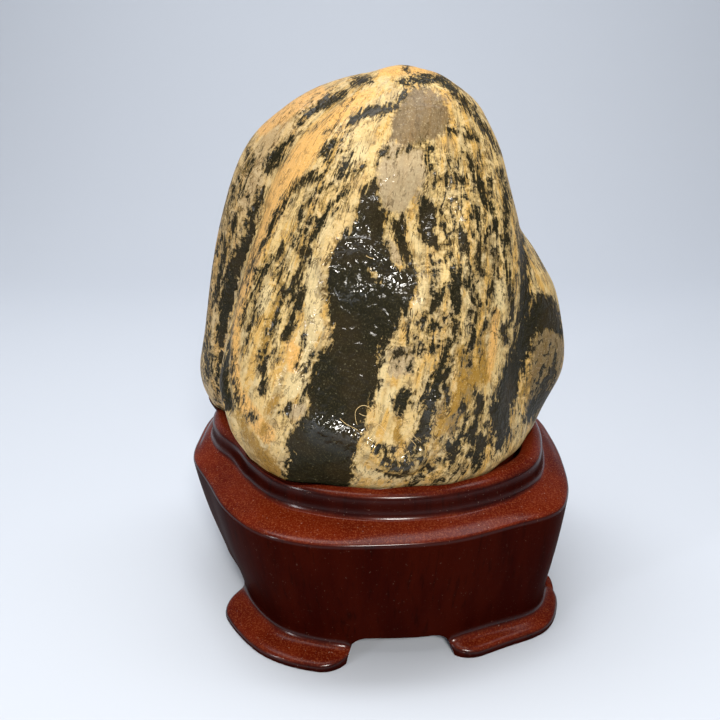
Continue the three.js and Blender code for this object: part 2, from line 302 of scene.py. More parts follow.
OCHRE_BANDS = [
    [(283, 284, 4), (276, 308, 5), (270, 322, 5), (265, 345, 6), (260, 366, 4)],
    [(276, 400, 4), (268, 412, 5)],
    [(462, 352, 8), (470, 375, 12), (462, 398, 11), (450, 425, 9)],
    [(238, 412, 3), (247, 432, 4), (258, 450, 6), (272, 468, 7), (284, 480, 6)],
    [(400, 415, 3), (396, 436, 4), (402, 444, 3)],
    [(446, 392, 3), (442, 412, 4), (438, 430, 4), (434, 446, 3)],
    [(266, 420, 3), (262, 432, 4)],
    [(484, 330, 4), (480, 350, 6), (484, 380, 5)],
    [(546, 340, 4), (545, 360, 7), (534, 378, 6), (524, 392, 5)],
]
PALE_BANDS = [
    [(408, 228, 2), (415, 240, 3.5), (419, 252, 3)],
    [(424, 284, 4), (420, 300, 5), (408, 318, 4)],
    [(312, 262, 7), (312, 300, 10), (316, 325, 8), (308, 345, 7), (298, 380, 10), (292, 392, 9)],
    [(386, 350, 4), (382, 372, 4), (378, 400, 3)],
    [(462, 248, 3), (467, 266, 5), (467, 281, 5), (470, 298, 4), (468, 315, 4), (466, 334, 3)],
    [(500, 285, 6), (500, 305, 7)],
    [(392, 392, 6), (388, 408, 5)],
    [(360, 470, 4), (372, 474, 6), (420, 478, 4)],
    [(268, 290, 6), (262, 310, 6)],
    [(330, 218, 5), (320, 240, 5)],
    [(360, 150, 9), (350, 160, 8)],
    [(548, 290, 1.2), (560, 308, 1.5), (564, 330, 1.5)],
]
CREAM_VEINS = [
    [(386, 224, 2), (390, 238, 3.5), (395, 253, 5), (399, 267, 4)],
    [(370, 268, 1), (376, 276, 1.8), (383, 284, 1.4)],
    [(355, 182, 2), (348, 200, 2), (342, 214, 2)],
]
BROWN_PATCHES = [
    [(416, 88), (404, 94), (396, 106), (390, 122), (392, 138), (404, 147), (420, 146), (432, 140),
     (446, 134), (452, 122), (448, 106), (440, 95), (428, 89)],
    # The second patch browns the right lobe: partly its own brown mottle, partly painted shade on that side.
    [(544, 300), (558, 316), (566, 345), (561, 380), (548, 408), (532, 428), (524, 404), (532, 350)],
]
GREY_PATCHES = [
    [(390, 140), (382, 152), (377, 168), (377, 190), (384, 209),
     (396, 215), (408, 206), (420, 190), (426, 172), (426, 150), (410, 146)],
    [(288, 404), (306, 402), (308, 410), (298, 420), (288, 416)],
    [(384, 236), (396, 242), (404, 258), (400, 268), (388, 264), (380, 250)],
    [(389, 350), (412, 346), (414, 362), (402, 380), (390, 376)],
]
BUSY_AREAS = [
    [(455, 170, 18), (470, 200, 26), (475, 250, 30), (470, 310, 28), (455, 350, 22)],
    [(440, 180, 10), (445, 220, 14)],
    [(335, 200, 14), (310, 225, 14), (290, 270, 12)],
    [(292, 260, 14), (285, 320, 14), (270, 350, 10)],
    [(420, 330, 12), (405, 355, 14)],
    [(425, 262, 8), (432, 290, 8)],
    [(400, 470, 16), (440, 470, 20)],
    # The next area crowds dark streaks over the right lobe, partly as painted shade on that side.
    [(540, 360, 20), (520, 410, 16)],
    [(470, 428, 20), (500, 424, 20), (450, 462, 14)],
    [(240, 150, 16), (228, 220, 16), (214, 300, 10), (208, 370, 10)],
    [(300, 120, 10), (340, 96, 8)],
    [(345, 150, 12), (335, 180, 14)],
    [(254, 280, 8), (248, 340, 8)],
]

# Low folds in the surface that catch the light: height in millimetres, breadth in the view, and the line
# that each follows.
FOLDS = [
    (0.75, 12, [(323, 269), (330, 254), (341, 245), (358, 241), (370, 246), (384, 261), (397, 268),
                (407, 276)]),
    (0.4, 8, [(344, 292), (362, 294)]),
    (0.3, 8, [(315, 308), (316, 334)]),
    (1.0, 13, [(322, 427), (334, 432), (346, 437), (360, 441)]),
    (1.9, 14, [(370, 447), (379, 458), (389, 464), (401, 466), (412, 462), (421, 454)]),
    (0.9, 11, [(449, 414), (444, 428), (434, 442)]),
    (0.6, 9, [(438, 396), (434, 412)]),
]
# Where two lobes meet, the surface dips along this line.
CREASE = [(266, 206), (246, 250), (235, 288), (228, 330), (225, 370), (228, 408)]
CREASE_REACH = 6.0
CREASE_DEPTH = 0.7
CALM = -7.5  # how far from black the ground is where streaks are few
BUSY = -1.9  # and where they crowd together
BUSY_EDGE = (-14, 6)  # over which the one turns to the other, in the view
FAR_WET = 0.35  # how wet the side turned from the camera looks
WET_SPREAD = (2.2, 0.4)  # where the wet look starts and is full around a fold, in breadths of the fold
MARK_LIMIT = 12  # the marks' distances are cut off here

# Marks on the side turned from the camera, from noise: height, pitch, octaves, seed and level of each.
# Those named in FLOWING follow the streaks' flow.
FAR_MARKS = {
    "black": (26, 0.07, 3, 11, 0.56),
    "orange": (24, 0.06, 2, 31, 0.64),
    "ochre": (24, 0.09, 2, 41, 0.68),
    "pale": (20, 0.08, 2, 51, 0.6),
    "grey": (20, 0.035, 2, 61, 0.7),
    "brown": (20, 0.04, 2, 66, 0.72),
}
FLOWING = ("black", "orange", "ochre", "pale")
FAR_BUSY = (1.3, 0.05, 2, 71, 0.1)  # height, pitch, octaves, seed and what is taken off

# The stone's relief, in millimetres: broad and fine unevenness, and how much lower the dark mineral lies.
COARSE_RELIEF = (0.22, 0.12, 3, 8)  # height, pitch, octaves, seed
FINE_RELIEF = (0.13, (0.9, 0.9, 1.4), 3, 5)
DARK_SINK = 0.12
RELIEF_FOOT = (34, 44)  # heights between which the relief fades out toward the seat


def stone_grid():
    """Unit directions over a cube's six faces, merged along its edges, and the quads between them."""
    n = STONE_GRID
    index = {}
    keys = []
    quads = []
    ticks = range(n + 1)
    for axis in range(3):
        for side in (0, n):
            ids = np.zeros((n + 1, n + 1), int)
            for i in ticks:
                for j in ticks:
                    key = [0, 0, 0]
                    key[axis] = side
                    key[(axis + 1) % 3] = i
                    key[(axis + 2) % 3] = j
                    key = tuple(key)
                    if key not in index:
                        index[key] = len(keys)
                        keys.append(key)
                    ids[i, j] = index[key]
            a, b, c, d = ids[:-1, :-1], ids[1:, :-1], ids[1:, 1:], ids[:-1, 1:]
            face = np.stack([a, b, c, d] if side else [a, d, c, b], -1)
            quads.append(face.reshape(-1, 4))
    cube = np.array(keys) / n * 2 - 1
    spread = np.tan(cube * math.pi / 4) * STONE_SPREAD
    return spread / np.linalg.norm(spread, axis=1)[:, None], np.concatenate(quads)


def vertex_normals(points, quads):
    """Unit normals at the points, from the quads around each."""
    diagonal = np.cross(points[quads[:, 2]] - points[quads[:, 0]], points[quads[:, 3]] - points[quads[:, 1]])
    normals = np.zeros_like(points)
    for k in range(4):
        np.add.at(normals, quads[:, k], diagonal)
    return normals / np.linalg.norm(normals, axis=1)[:, None]


def make_mesh(name, points, faces, attributes=()):
    """A smooth-shaded object from points in millimetres, with named values on its points."""
    mesh = bpy.data.meshes.new(name)
    mesh.from_pydata((points * MM).tolist(), [], [list(map(int, f)) for f in faces])
    for key, values in attributes:
        kind = "FLOAT_VECTOR" if values.ndim == 2 else "FLOAT"
        layer = mesh.attributes.new(key, kind, "POINT")
        field = "vector" if values.ndim == 2 else "value"
        layer.data.foreach_set(field, values.astype(np.float32).ravel())
    mesh.polygons.foreach_set("use_smooth", [True] * len(mesh.polygons))
    mesh.update()
    piece = bpy.data.objects.new(name, mesh)
    scene.collection.objects.link(piece)
    return piece


DEPTH_CELL = 3.0  # the view is cut into cells this wide to find which points lie nearest the camera
DEPTH_SLACK = 5.0  # and a point this much deeper than the nearest, in millimetres, still counts as seen
TURNED = (-0.05, 0.12)  # how far a point faces the camera, from unseen to seen


def visible_share(points, normals, places, depth):
    """One where the camera sees the surface, fading to zero as it turns away or hides."""
    columns = int(VIEW_SIDE / DEPTH_CELL) + 2
    where = np.clip((places / DEPTH_CELL).astype(int), 0, columns - 1)
    flat = where[:, 0] * columns + where[:, 1]
    nearest = np.full(columns * columns, np.inf)
    to_eye = EYE - points
    to_eye /= np.linalg.norm(to_eye, axis=1)[:, None]
    facing = (normals * to_eye).sum(1)
    np.minimum.at(nearest, flat[facing > 0], depth[facing > 0])
    shown = depth < nearest[flat] + DEPTH_SLACK
    return np.where(shown, ease(*TURNED, facing), 0.0)


CROWN_HEIGHT = 125  # where the streaks fan out from, and over what drop their middle wanders
FAN_DROP = 80
FAN_WIDTH = 42  # how wide the fan of streaks is laid out, and how fast it reaches that
FAN_OPENING = 9
ALONG_SCALE = 0.16  # how much slower the pattern changes along a streak than across it
OUTWARD_SCALE = 0.1


def flow_places(p):
    """Coordinates that run along the stone's streaks, which fan down from the crown."""
    down = np.clip((CROWN_HEIGHT - p[:, 2]) / FAN_DROP, 0, 1.2)
    centre_x = 6 - 12 * down - 6 * down * down
    centre_y = 2 - 2 * down
    x = p[:, 0] - centre_x
    y = p[:, 1] - centre_y
    out = np.hypot(x, y)
    width = FAN_WIDTH * out / (out + FAN_OPENING)
    unit_x = x / np.maximum(out, 1e-6)
    unit_y = y / np.maximum(out, 1e-6)
    return np.stack([unit_x * width, unit_y * width, p[:, 2] * ALONG_SCALE + out * OUTWARD_SCALE], 1)


def build_stone():
    """The stone with its relief, and its marks as values on its points."""
    directions, quads = stone_grid()
    radii = cast_out(STONE_HEART, directions, STONE_REACH)
    points = STONE_HEART + directions * radii[:, None]
    normals = vertex_normals(points, quads)
    places, depth = seen_at(points)
    seen = visible_share(points, normals, places, depth)
    flow = flow_places(points)

    def both(near, far):
        """The near value where the camera sees the stone, the far one elsewhere."""
        near, far = (np.clip(values, -MARK_LIMIT, MARK_LIMIT) for values in (near, far))
        return seen * near + (1 - seen) * far

    near_marks = {
        "black": np.maximum(stroke_reach(places, BLACK_STREAKS), patch_reach(places, BLACK_PATCHES)),
        "orange": stroke_reach(places, ORANGE_BANDS),
        "ochre": stroke_reach(places, OCHRE_BANDS),
        "pale": stroke_reach(places, PALE_BANDS),
        "grey": patch_reach(places, GREY_PATCHES),
        "brown": patch_reach(places, BROWN_PATCHES),
    }
    marks = {}
    for name, (height, pitch, octaves, seed, level) in FAR_MARKS.items():
        where = flow if name in FLOWING else points
        marks[name] = both(near_marks[name], height * (cloud(where * pitch, octaves, seed) - level))

    height, pitch, octaves, seed, taken_off = FAR_BUSY
    far_busy = np.clip(height * cloud(flow * pitch, octaves, seed) - taken_off, 0, 1)
    busy = seen * ease(*BUSY_EDGE, stroke_reach(places, BUSY_AREAS)) + (1 - seen) * far_busy
    black = np.maximum(marks["black"], CALM + (BUSY - CALM) * busy)
    black = np.where(seen > 0.5, np.minimum(black, -stroke_reach(places, CREAM_VEINS)), black)
    marks["black"] = black
    # Painted shade: this share marks the rear-left lobe behind the front lobe, which the material darkens
    # toward a mauve brown.
    rear_shade = ease(-1.5, 3.5, egg_distance(LOBES[1], points)) * ease(35, -10, points[:, 0])

    height, pitch, octaves, seed = COARSE_RELIEF
    relief = height * (cloud(points * pitch, octaves, seed) - 0.5)
    height, pitch, octaves, seed = FINE_RELIEF
    relief = relief + height * (cloud(flow * np.array(pitch), octaves, seed) - 0.5)
    relief -= DARK_SINK * ease(-1.0, 2.0, black)
    fold = np.zeros(len(points))
    wet = np.zeros(len(points))
    for height, breadth, line in FOLDS:
        reach = line_reach(places, line)
        fold = np.maximum(fold, height * ease(-breadth, 0, reach))
        wet = np.maximum(wet, ease(-WET_SPREAD[0] * breadth, -WET_SPREAD[1] * breadth, reach))
    relief += seen * fold
    relief -= seen * CREASE_DEPTH * ease(-CREASE_REACH, 0, line_reach(places, CREASE))
    relief *= ease(*RELIEF_FOOT, points[:, 2])
    points = points + normals * relief[:, None]
    wet = seen * wet + (1 - seen) * FAR_WET

    layers = [("flow", flow), *marks.items(), ("rear_shade", rear_shade), ("wet", wet)]
    piece = make_mesh("stone_fine", points, quads, layers)
    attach(piece, "root")
    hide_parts("stone")
    return piece


# The stand's form, in millimetres. Its plans are the corner points of closed curves, seen from above.
SHELF_HEIGHT = 34.2
LIP_HEIGHT = 42.0
SEAT_FLOOR = 36.2
STONE_GAP = 0.35
ARCH_HEIGHT = 5.0
SHELF_PLAN = [
    (50, 3), (49.2, 17), (43, 33), (28, 44.5), (8, 49.6), (-14, 48.9), (-32, 42.5), (-43.5, 32),
    (-49, 18), (-49.8, 3), (-48.8, -9), (-42.2, -22.5), (-35.2, -35.7), (-26, -45.2), (-14, -49.6),
    (0, -49.9), (15, -48), (29, -42.3), (41.5, -35.9), (46.4, -26.5), (49.2, -11),
]
RIM_PLAN = [
    (44.8, 0), (43, 15.5), (35.8, 28.5), (21, 38.8), (0, 43.2), (-21, 39.8), (-36.5, 30),
    (-44.5, 16), (-46, 2), (-42.5, -9), (-36.6, -17.4), (-31.3, -27), (-23.2, -36.6),
    (-11.2, -42), (1.5, -43.8), (15.3, -42), (29.8, -35.4), (38.6, -27), (43.3, -14),
]
WALL_TAPER = 5.5
LEFT_TAPER = 2.0
PAD_OVERHANG = 0.25
# Height, share of the wall's taper, and how far a foot reaches out to the edge of its pad.
SIDE = [
    (0, 1.04, 0.96), (0.5, 1.04, 1), (1.5, 1.03, 0.98), (2.2, 1.02, 0.84), (2.7, 1.01, 0.5),
    (3.3, 1, 0.22), (4.2, 0.97, 0.07), (6, 0.92, 0), (9, 0.8, 0), (19, 0.4, 0), (27, 0.15, 0),
    (31, 0.05, 0), (32.8, 0.01, 0),
]
# Height and inset from the shelf plan.
SHELF_EDGE = [(32.8, 0.05), (33.6, 0.3), (SHELF_HEIGHT, 1.3)]
SHELF_MIDDLE = 34.9
# Height and inset from the rim plan.
RIM = [
    (35.6, -0.8), (36.1, 0.1), (37.4, 0.6), (40, 0.8), (41.2, 1.4), (LIP_HEIGHT, 3),
    (41.9, 4.6), (41.2, 6), (38.5, 6.9), (SEAT_FLOOR, 7.6),
]
FEET = [(213, 262), (291, 336.5), (24, 70), (112, 152)]
FOOT_ROUNDING = 8
FRONT_ARCH = (-7.5, 17.5)
SIDE_ARCH = (-23, 22)
ARCH_SPRING = 1.0
ARCH_SHOULDER = 6.0
ARCH_POWER = 3.2
ARCH_EDGE = 0.35
ROOF_SPACING = 0.02  # keeps the rings apart where the arches lift them, per millimetre of height
SEAT_WALL = (36.0, 35, 33, 31, 29, 27.5, 26.5)  # heights of the rings down the seat, close around the stone
SEAT_BOTTOM = 25.4
LIP_INSET = 3.05  # farther in than this and higher than SEAT_TOP, the rim gives way to the stone
SEAT_TOP = SHELF_HEIGHT + 1.4
WIDEST = 70.0  # no part of the stone's foot is farther from the upright axis

# How finely the stand is cut up.
PLAN_STEPS = 640
PLAN_SAMPLES = 60
UNDERSIDE_RINGS = 24
SIDE_SPACING = 0.9
UPPER_PARTS = 5


def rounded(corners, knots, t):
    """Points of a centripetal curve through the middle two of four corners, at parameters t."""
    a, b, c, d = corners
    t0, t1, t2, t3 = knots
    ab = (t1 - t) / (t1 - t0) * a + (t - t0) / (t1 - t0) * b
    bc = (t2 - t) / (t2 - t1) * b + (t - t1) / (t2 - t1) * c
    cd = (t3 - t) / (t3 - t2) * c + (t - t2) / (t3 - t2) * d
    abc = (t2 - t) / (t2 - t0) * ab + (t - t0) / (t2 - t0) * bc
    bcd = (t3 - t) / (t3 - t1) * bc + (t - t1) / (t3 - t1) * cd
    return (t2 - t) / (t2 - t1) * abc + (t - t1) / (t2 - t1) * bcd


def knots_of(corners):
    """Parameters at which a centripetal curve passes its corners."""
    knots = [0.0]
    for p, q in zip(corners, corners[1:]):
        knots.append(knots[-1] + max(np.linalg.norm(q - p), 1e-6) ** 0.5)
    return knots


def closed_curve(points, samples):
    """A rounded curve through closed corner points."""
    corners = np.array(points, float)
    out = []
    for i in range(len(corners)):
        four = [corners[(i + k) % len(corners)] for k in range(-1, 3)]
        knots = knots_of(four)
        t = np.linspace(knots[1], knots[2], samples, endpoint=False)[:, None]
        out.append(rounded(four, knots, t))
    return np.concatenate(out)


def plan_radii(points, angles):
    """Distance from the upright axis to a plan's curve at each angle."""
    curve = closed_curve(points, PLAN_SAMPLES)
    around = np.arctan2(curve[:, 1], curve[:, 0]) % (2 * math.pi)
    order = np.argsort(around)
    return np.interp(angles, around[order], np.hypot(curve[:, 0], curve[:, 1])[order], period=2 * math.pi)


def round_step(low, high, value):
    """Zero at low, one at high, along a quarter circle."""
    rest = 1 - np.clip((value - low) / (high - low), 0, 1)
    return np.sqrt(1 - rest * rest)


def foot_share(degrees):
    """One where a foot stands, zero between the feet."""
    share = np.zeros(len(degrees))
    for start, end in FEET:
        rising = round_step(start, start + FOOT_ROUNDING, degrees)
        falling = round_step(-end, FOOT_ROUNDING - end, -degrees)
        share = np.maximum(share, np.minimum(rising, falling))
    return share


def arch_height(across, arch):
    """Height of an arched gap's roof, zero where the wood reaches the table."""
    low, high = arch
    inset = np.minimum(across - low, high - across)
    shoulder = np.clip(inset / ARCH_SHOULDER, 0, 1)
    curve = ARCH_SPRING + (ARCH_HEIGHT - ARCH_SPRING) * (1 - (1 - shoulder) ** ARCH_POWER)
    return np.where(inset > 0, curve * ease(0, ARCH_EDGE, inset), 0.0)


def with_ends(rows):
    """Rows with one more before the first and after the last, in line with their neighbours."""
    return np.concatenate([2 * rows[:1] - rows[1:2], rows, 2 * rows[-1:] - rows[-2:-1]])


def smooth_section(rows, spacing):
    """Rows of a section resampled along a rounded curve through them."""
    ends = with_ends(np.array(rows, float))
    out = []
    for i in range(1, len(ends) - 2):
        four = ends[i - 1:i + 3]
        knots = knots_of(four)
        count = max(2, int(math.ceil(np.linalg.norm(four[2] - four[1]) / spacing)))
        t = np.linspace(knots[1], knots[2], count, endpoint=False)[:, None]
        out.append(rounded(four, knots, t))
    out.append(ends[-2:-1])
    return np.concatenate(out)


def smooth_rings(rings, parts):
    """Rings joined by a rounded curve through them, with each gap between two cut into parts."""
    ends = with_ends(np.array(rings))
    out = []
    for i in range(1, len(ends) - 2):
        a, b, c, d = ends[i - 1:i + 3]
        for t in np.arange(parts) / parts:
            bend = 2 * a - 5 * b + 4 * c - d + t * (3 * (b - c) + d - a)
            out.append(b + 0.5 * t * (c - a + t * bend))
    return out + [ends[-2]]


def stone_width_at(height, angles):
    """Level distance from the upright axis to the stone, grown by its gap, at one height."""
    origins = np.zeros((len(angles), 3))
    origins[:, 2] = height
    directions = np.stack([np.cos(angles), np.sin(angles), np.zeros(len(angles))], 1)
    return cast_out(origins, directions, WIDEST, STONE_GAP)


def build_stand():
    """The stand as rings about its upright axis, from the middle of its underside to the seat's bottom."""
    angles = np.arange(PLAN_STEPS) / PLAN_STEPS * 2 * math.pi
    shelf = plan_radii(SHELF_PLAN, angles)
    rim = plan_radii(RIM_PLAN, angles)
    share = foot_share(np.degrees(angles))
    cosine, sine = np.cos(angles), np.sin(angles)
    rings = []

    def roof(radius):
        return np.maximum(arch_height(radius * cosine, FRONT_ARCH), arch_height(radius * sine, SIDE_ARCH))

    def side_radius(taper_share, foot_reach):
        wall = taper_share * (WALL_TAPER - LEFT_TAPER * cosine)
        return shelf - wall + foot_reach * share * (wall + PAD_OVERHANG)

    for inner in np.linspace(0.02, 1, UNDERSIDE_RINGS):
        radius = side_radius(*SIDE[0][1:]) * inner
        rings.append((radius, roof(radius)))
    for height, taper_share, foot_reach in smooth_section(SIDE, SIDE_SPACING):
        radius = side_radius(taper_share, np.clip(foot_reach, 0, 1))
        rings.append((radius, np.maximum(height, roof(radius) + ROOF_SPACING * height)))
    all_round = np.ones(PLAN_STEPS)
    upper = [(shelf - inset, height * all_round) for height, inset in SHELF_EDGE]
    upper.append(((shelf + rim) / 2, SHELF_MIDDLE * all_round))
    upper += [(rim - inset, height * all_round) for height, inset in RIM]
    for radius, height in smooth_rings(upper, UPPER_PARTS)[1:]:
        if np.max(rim - radius) > LIP_INSET and height[0] > SEAT_TOP:
            radius = np.maximum(radius, stone_width_at(height[0], angles))
        rings.append((radius, height))
    for height in SEAT_WALL:
        rings.append((stone_width_at(height, angles), height * all_round))

    points = [np.stack([radius * cosine, radius * sine, height], 1) for radius, height in rings]
    points = np.concatenate(points + [np.array([[0, 0, ARCH_HEIGHT], [0, 0, SEAT_BOTTOM - STONE_GAP]])])
    start = np.arange(PLAN_STEPS)
    after = (start + 1) % PLAN_STEPS
    faces = []
    for ring in range(len(rings) - 1):
        low = ring * PLAN_STEPS
        high = low + PLAN_STEPS
        faces.append(np.stack([low + start, low + after, high + after, high + start], 1))
    faces = np.concatenate(faces).tolist()
    under, over = len(points) - 2, len(points) - 1
    last = (len(rings) - 1) * PLAN_STEPS
    faces += [[under, int(b), int(a)] for a, b in zip(start, after)]
    faces += [[over, int(last + a), int(last + b)] for a, b in zip(start, after)]
    piece = make_mesh("stand_fine", points, faces)
    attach(piece, "root")
    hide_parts("stand")
    return piece


class Shader:
    """Short calls for building a node material."""

    def __init__(self, name):
        self.material = bpy.data.materials.new(name)
        self.material.use_nodes = True
        self.tree = self.material.node_tree
        self.surface = self.tree.nodes["Principled BSDF"]

    def put(self, socket, value):
        if isinstance(value, bpy.types.NodeSocket):
            self.tree.links.new(value, socket)
        elif isinstance(value, tuple) and len(value) == 3 and socket.type == "RGBA":
            socket.default_value = (*value, 1)
        else:
            socket.default_value = value

    def node(self, kind, inputs=(), **settings):
        node = self.tree.nodes.new(kind)
        for key, value in settings.items():
            setattr(node, key, value)
        for key, value in dict(inputs).items():
            self.put(node.inputs[key], value)
        return node

    def attribute(self, name, vector=False):
        node = self.node("ShaderNodeAttribute", attribute_name=name)
        return node.outputs["Vector" if vector else "Fac"]

    def place(self):
        return self.node("ShaderNodeTexCoord").outputs["Object"]

    def place_mm(self):
        return self.scaled(self.place(), (1 / MM, 1 / MM, 1 / MM))

    def up(self):
        """How far the surface faces up, from -1 to 1."""
        normal = self.node("ShaderNodeNewGeometry").outputs["Normal"]
        return self.node("ShaderNodeSeparateXYZ", {0: normal}).outputs["Z"]

    def scaled(self, vector, factors):
        node = self.node("ShaderNodeVectorMath", {0: vector, 1: factors}, operation="MULTIPLY")
        return node.outputs[0]

    def shifted(self, vector, by):
        node = self.node("ShaderNodeVectorMath", {0: vector, 1: by}, operation="ADD")
        return node.outputs[0]

    def noise(self, vector, scale, detail=3.0, rough=0.55, twist=0.0):
        node = self.node("ShaderNodeTexNoise", {"Vector": vector, "Scale": scale, "Detail": detail,
                                                "Roughness": rough, "Distortion": twist})
        return node.outputs["Fac"]

    def math(self, operation, a, b=0.0, c=0.0):
        return self.node("ShaderNodeMath", {0: a, 1: b, 2: c}, operation=operation).outputs[0]

    def about_zero(self, noise, height):
        """Noise moved to lie about zero, times a height."""
        return self.math("MULTIPLY", self.math("SUBTRACT", noise, 0.5), height)

    def ramp(self, value, low, high, to_low=0.0, to_high=1.0):
        node = self.node("ShaderNodeMapRange", {"Value": value, "From Min": low, "From Max": high,
                                                "To Min": to_low, "To Max": to_high},
                         interpolation_type="SMOOTHSTEP")
        return node.outputs[0]

    def mix(self, share, a, b):
        node = self.node("ShaderNodeMix", data_type="RGBA")
        self.put(node.inputs[0], share)
        self.put(node.inputs[6], a)
        self.put(node.inputs[7], b)
        return node.outputs[2]

    def bump(self, height, distance, strength=1.0, under=None):
        node = self.node("ShaderNodeBump", {"Height": height, "Distance": distance, "Strength": strength})
        if under is not None:
            self.put(node.inputs["Normal"], under)
        return node.outputs[0]

    def finish(self, **sockets):
        for key, value in sockets.items():
            self.put(self.surface.inputs[key.replace("_", " ")], value)


# The stone's colours, in linear light.
CREAM = (0.69, 0.49, 0.20)
GREYER_CREAM = (0.47, 0.345, 0.155)
YELLOWER_CREAM = (0.64, 0.38, 0.095)
BROWNER_CREAM = (0.38, 0.23, 0.08)
PALER_CREAM = (0.72, 0.58, 0.33)
PALE = (0.72, 0.56, 0.28)
ORANGE = (0.75, 0.42, 0.12)
OCHRE = (0.34, 0.18, 0.016)
GREY = (0.44, 0.34, 0.205)
BROWN = (0.135, 0.09, 0.046)
# Painted shade for the rear-left lobe.
REAR_SHADE = (0.34, 0.22, 0.16)
BROWN_GRAIN = (0.30, 0.19, 0.07)
QUARTZ_GRAIN = (0.86, 0.72, 0.44)
VEIN = (0.075, 0.045, 0.016)
OLIVE = (0.19, 0.125, 0.035)
PALE_OLIVE = (0.27, 0.20, 0.10)
GREEN_BLACK = (0.015, 0.013, 0.006)
BROWN_BLACK = (0.025, 0.018, 0.0075)
DARK_DUST = (0.09, 0.074, 0.032)
DARK_SPECK = (0.20, 0.18, 0.10)

# How far each noise moves the edges of the marks, in the marks' own units.
LONG_GRAIN_REACH = 29.0
CRINKLE_REACH = 15.0
GRIT_REACH = 11.0
BUMP_HEIGHT = 0.0006  # in metres
POLISH_COAT = dict(Coat_Roughness=0.04, Coat_IOR=1.5, IOR=1.5)


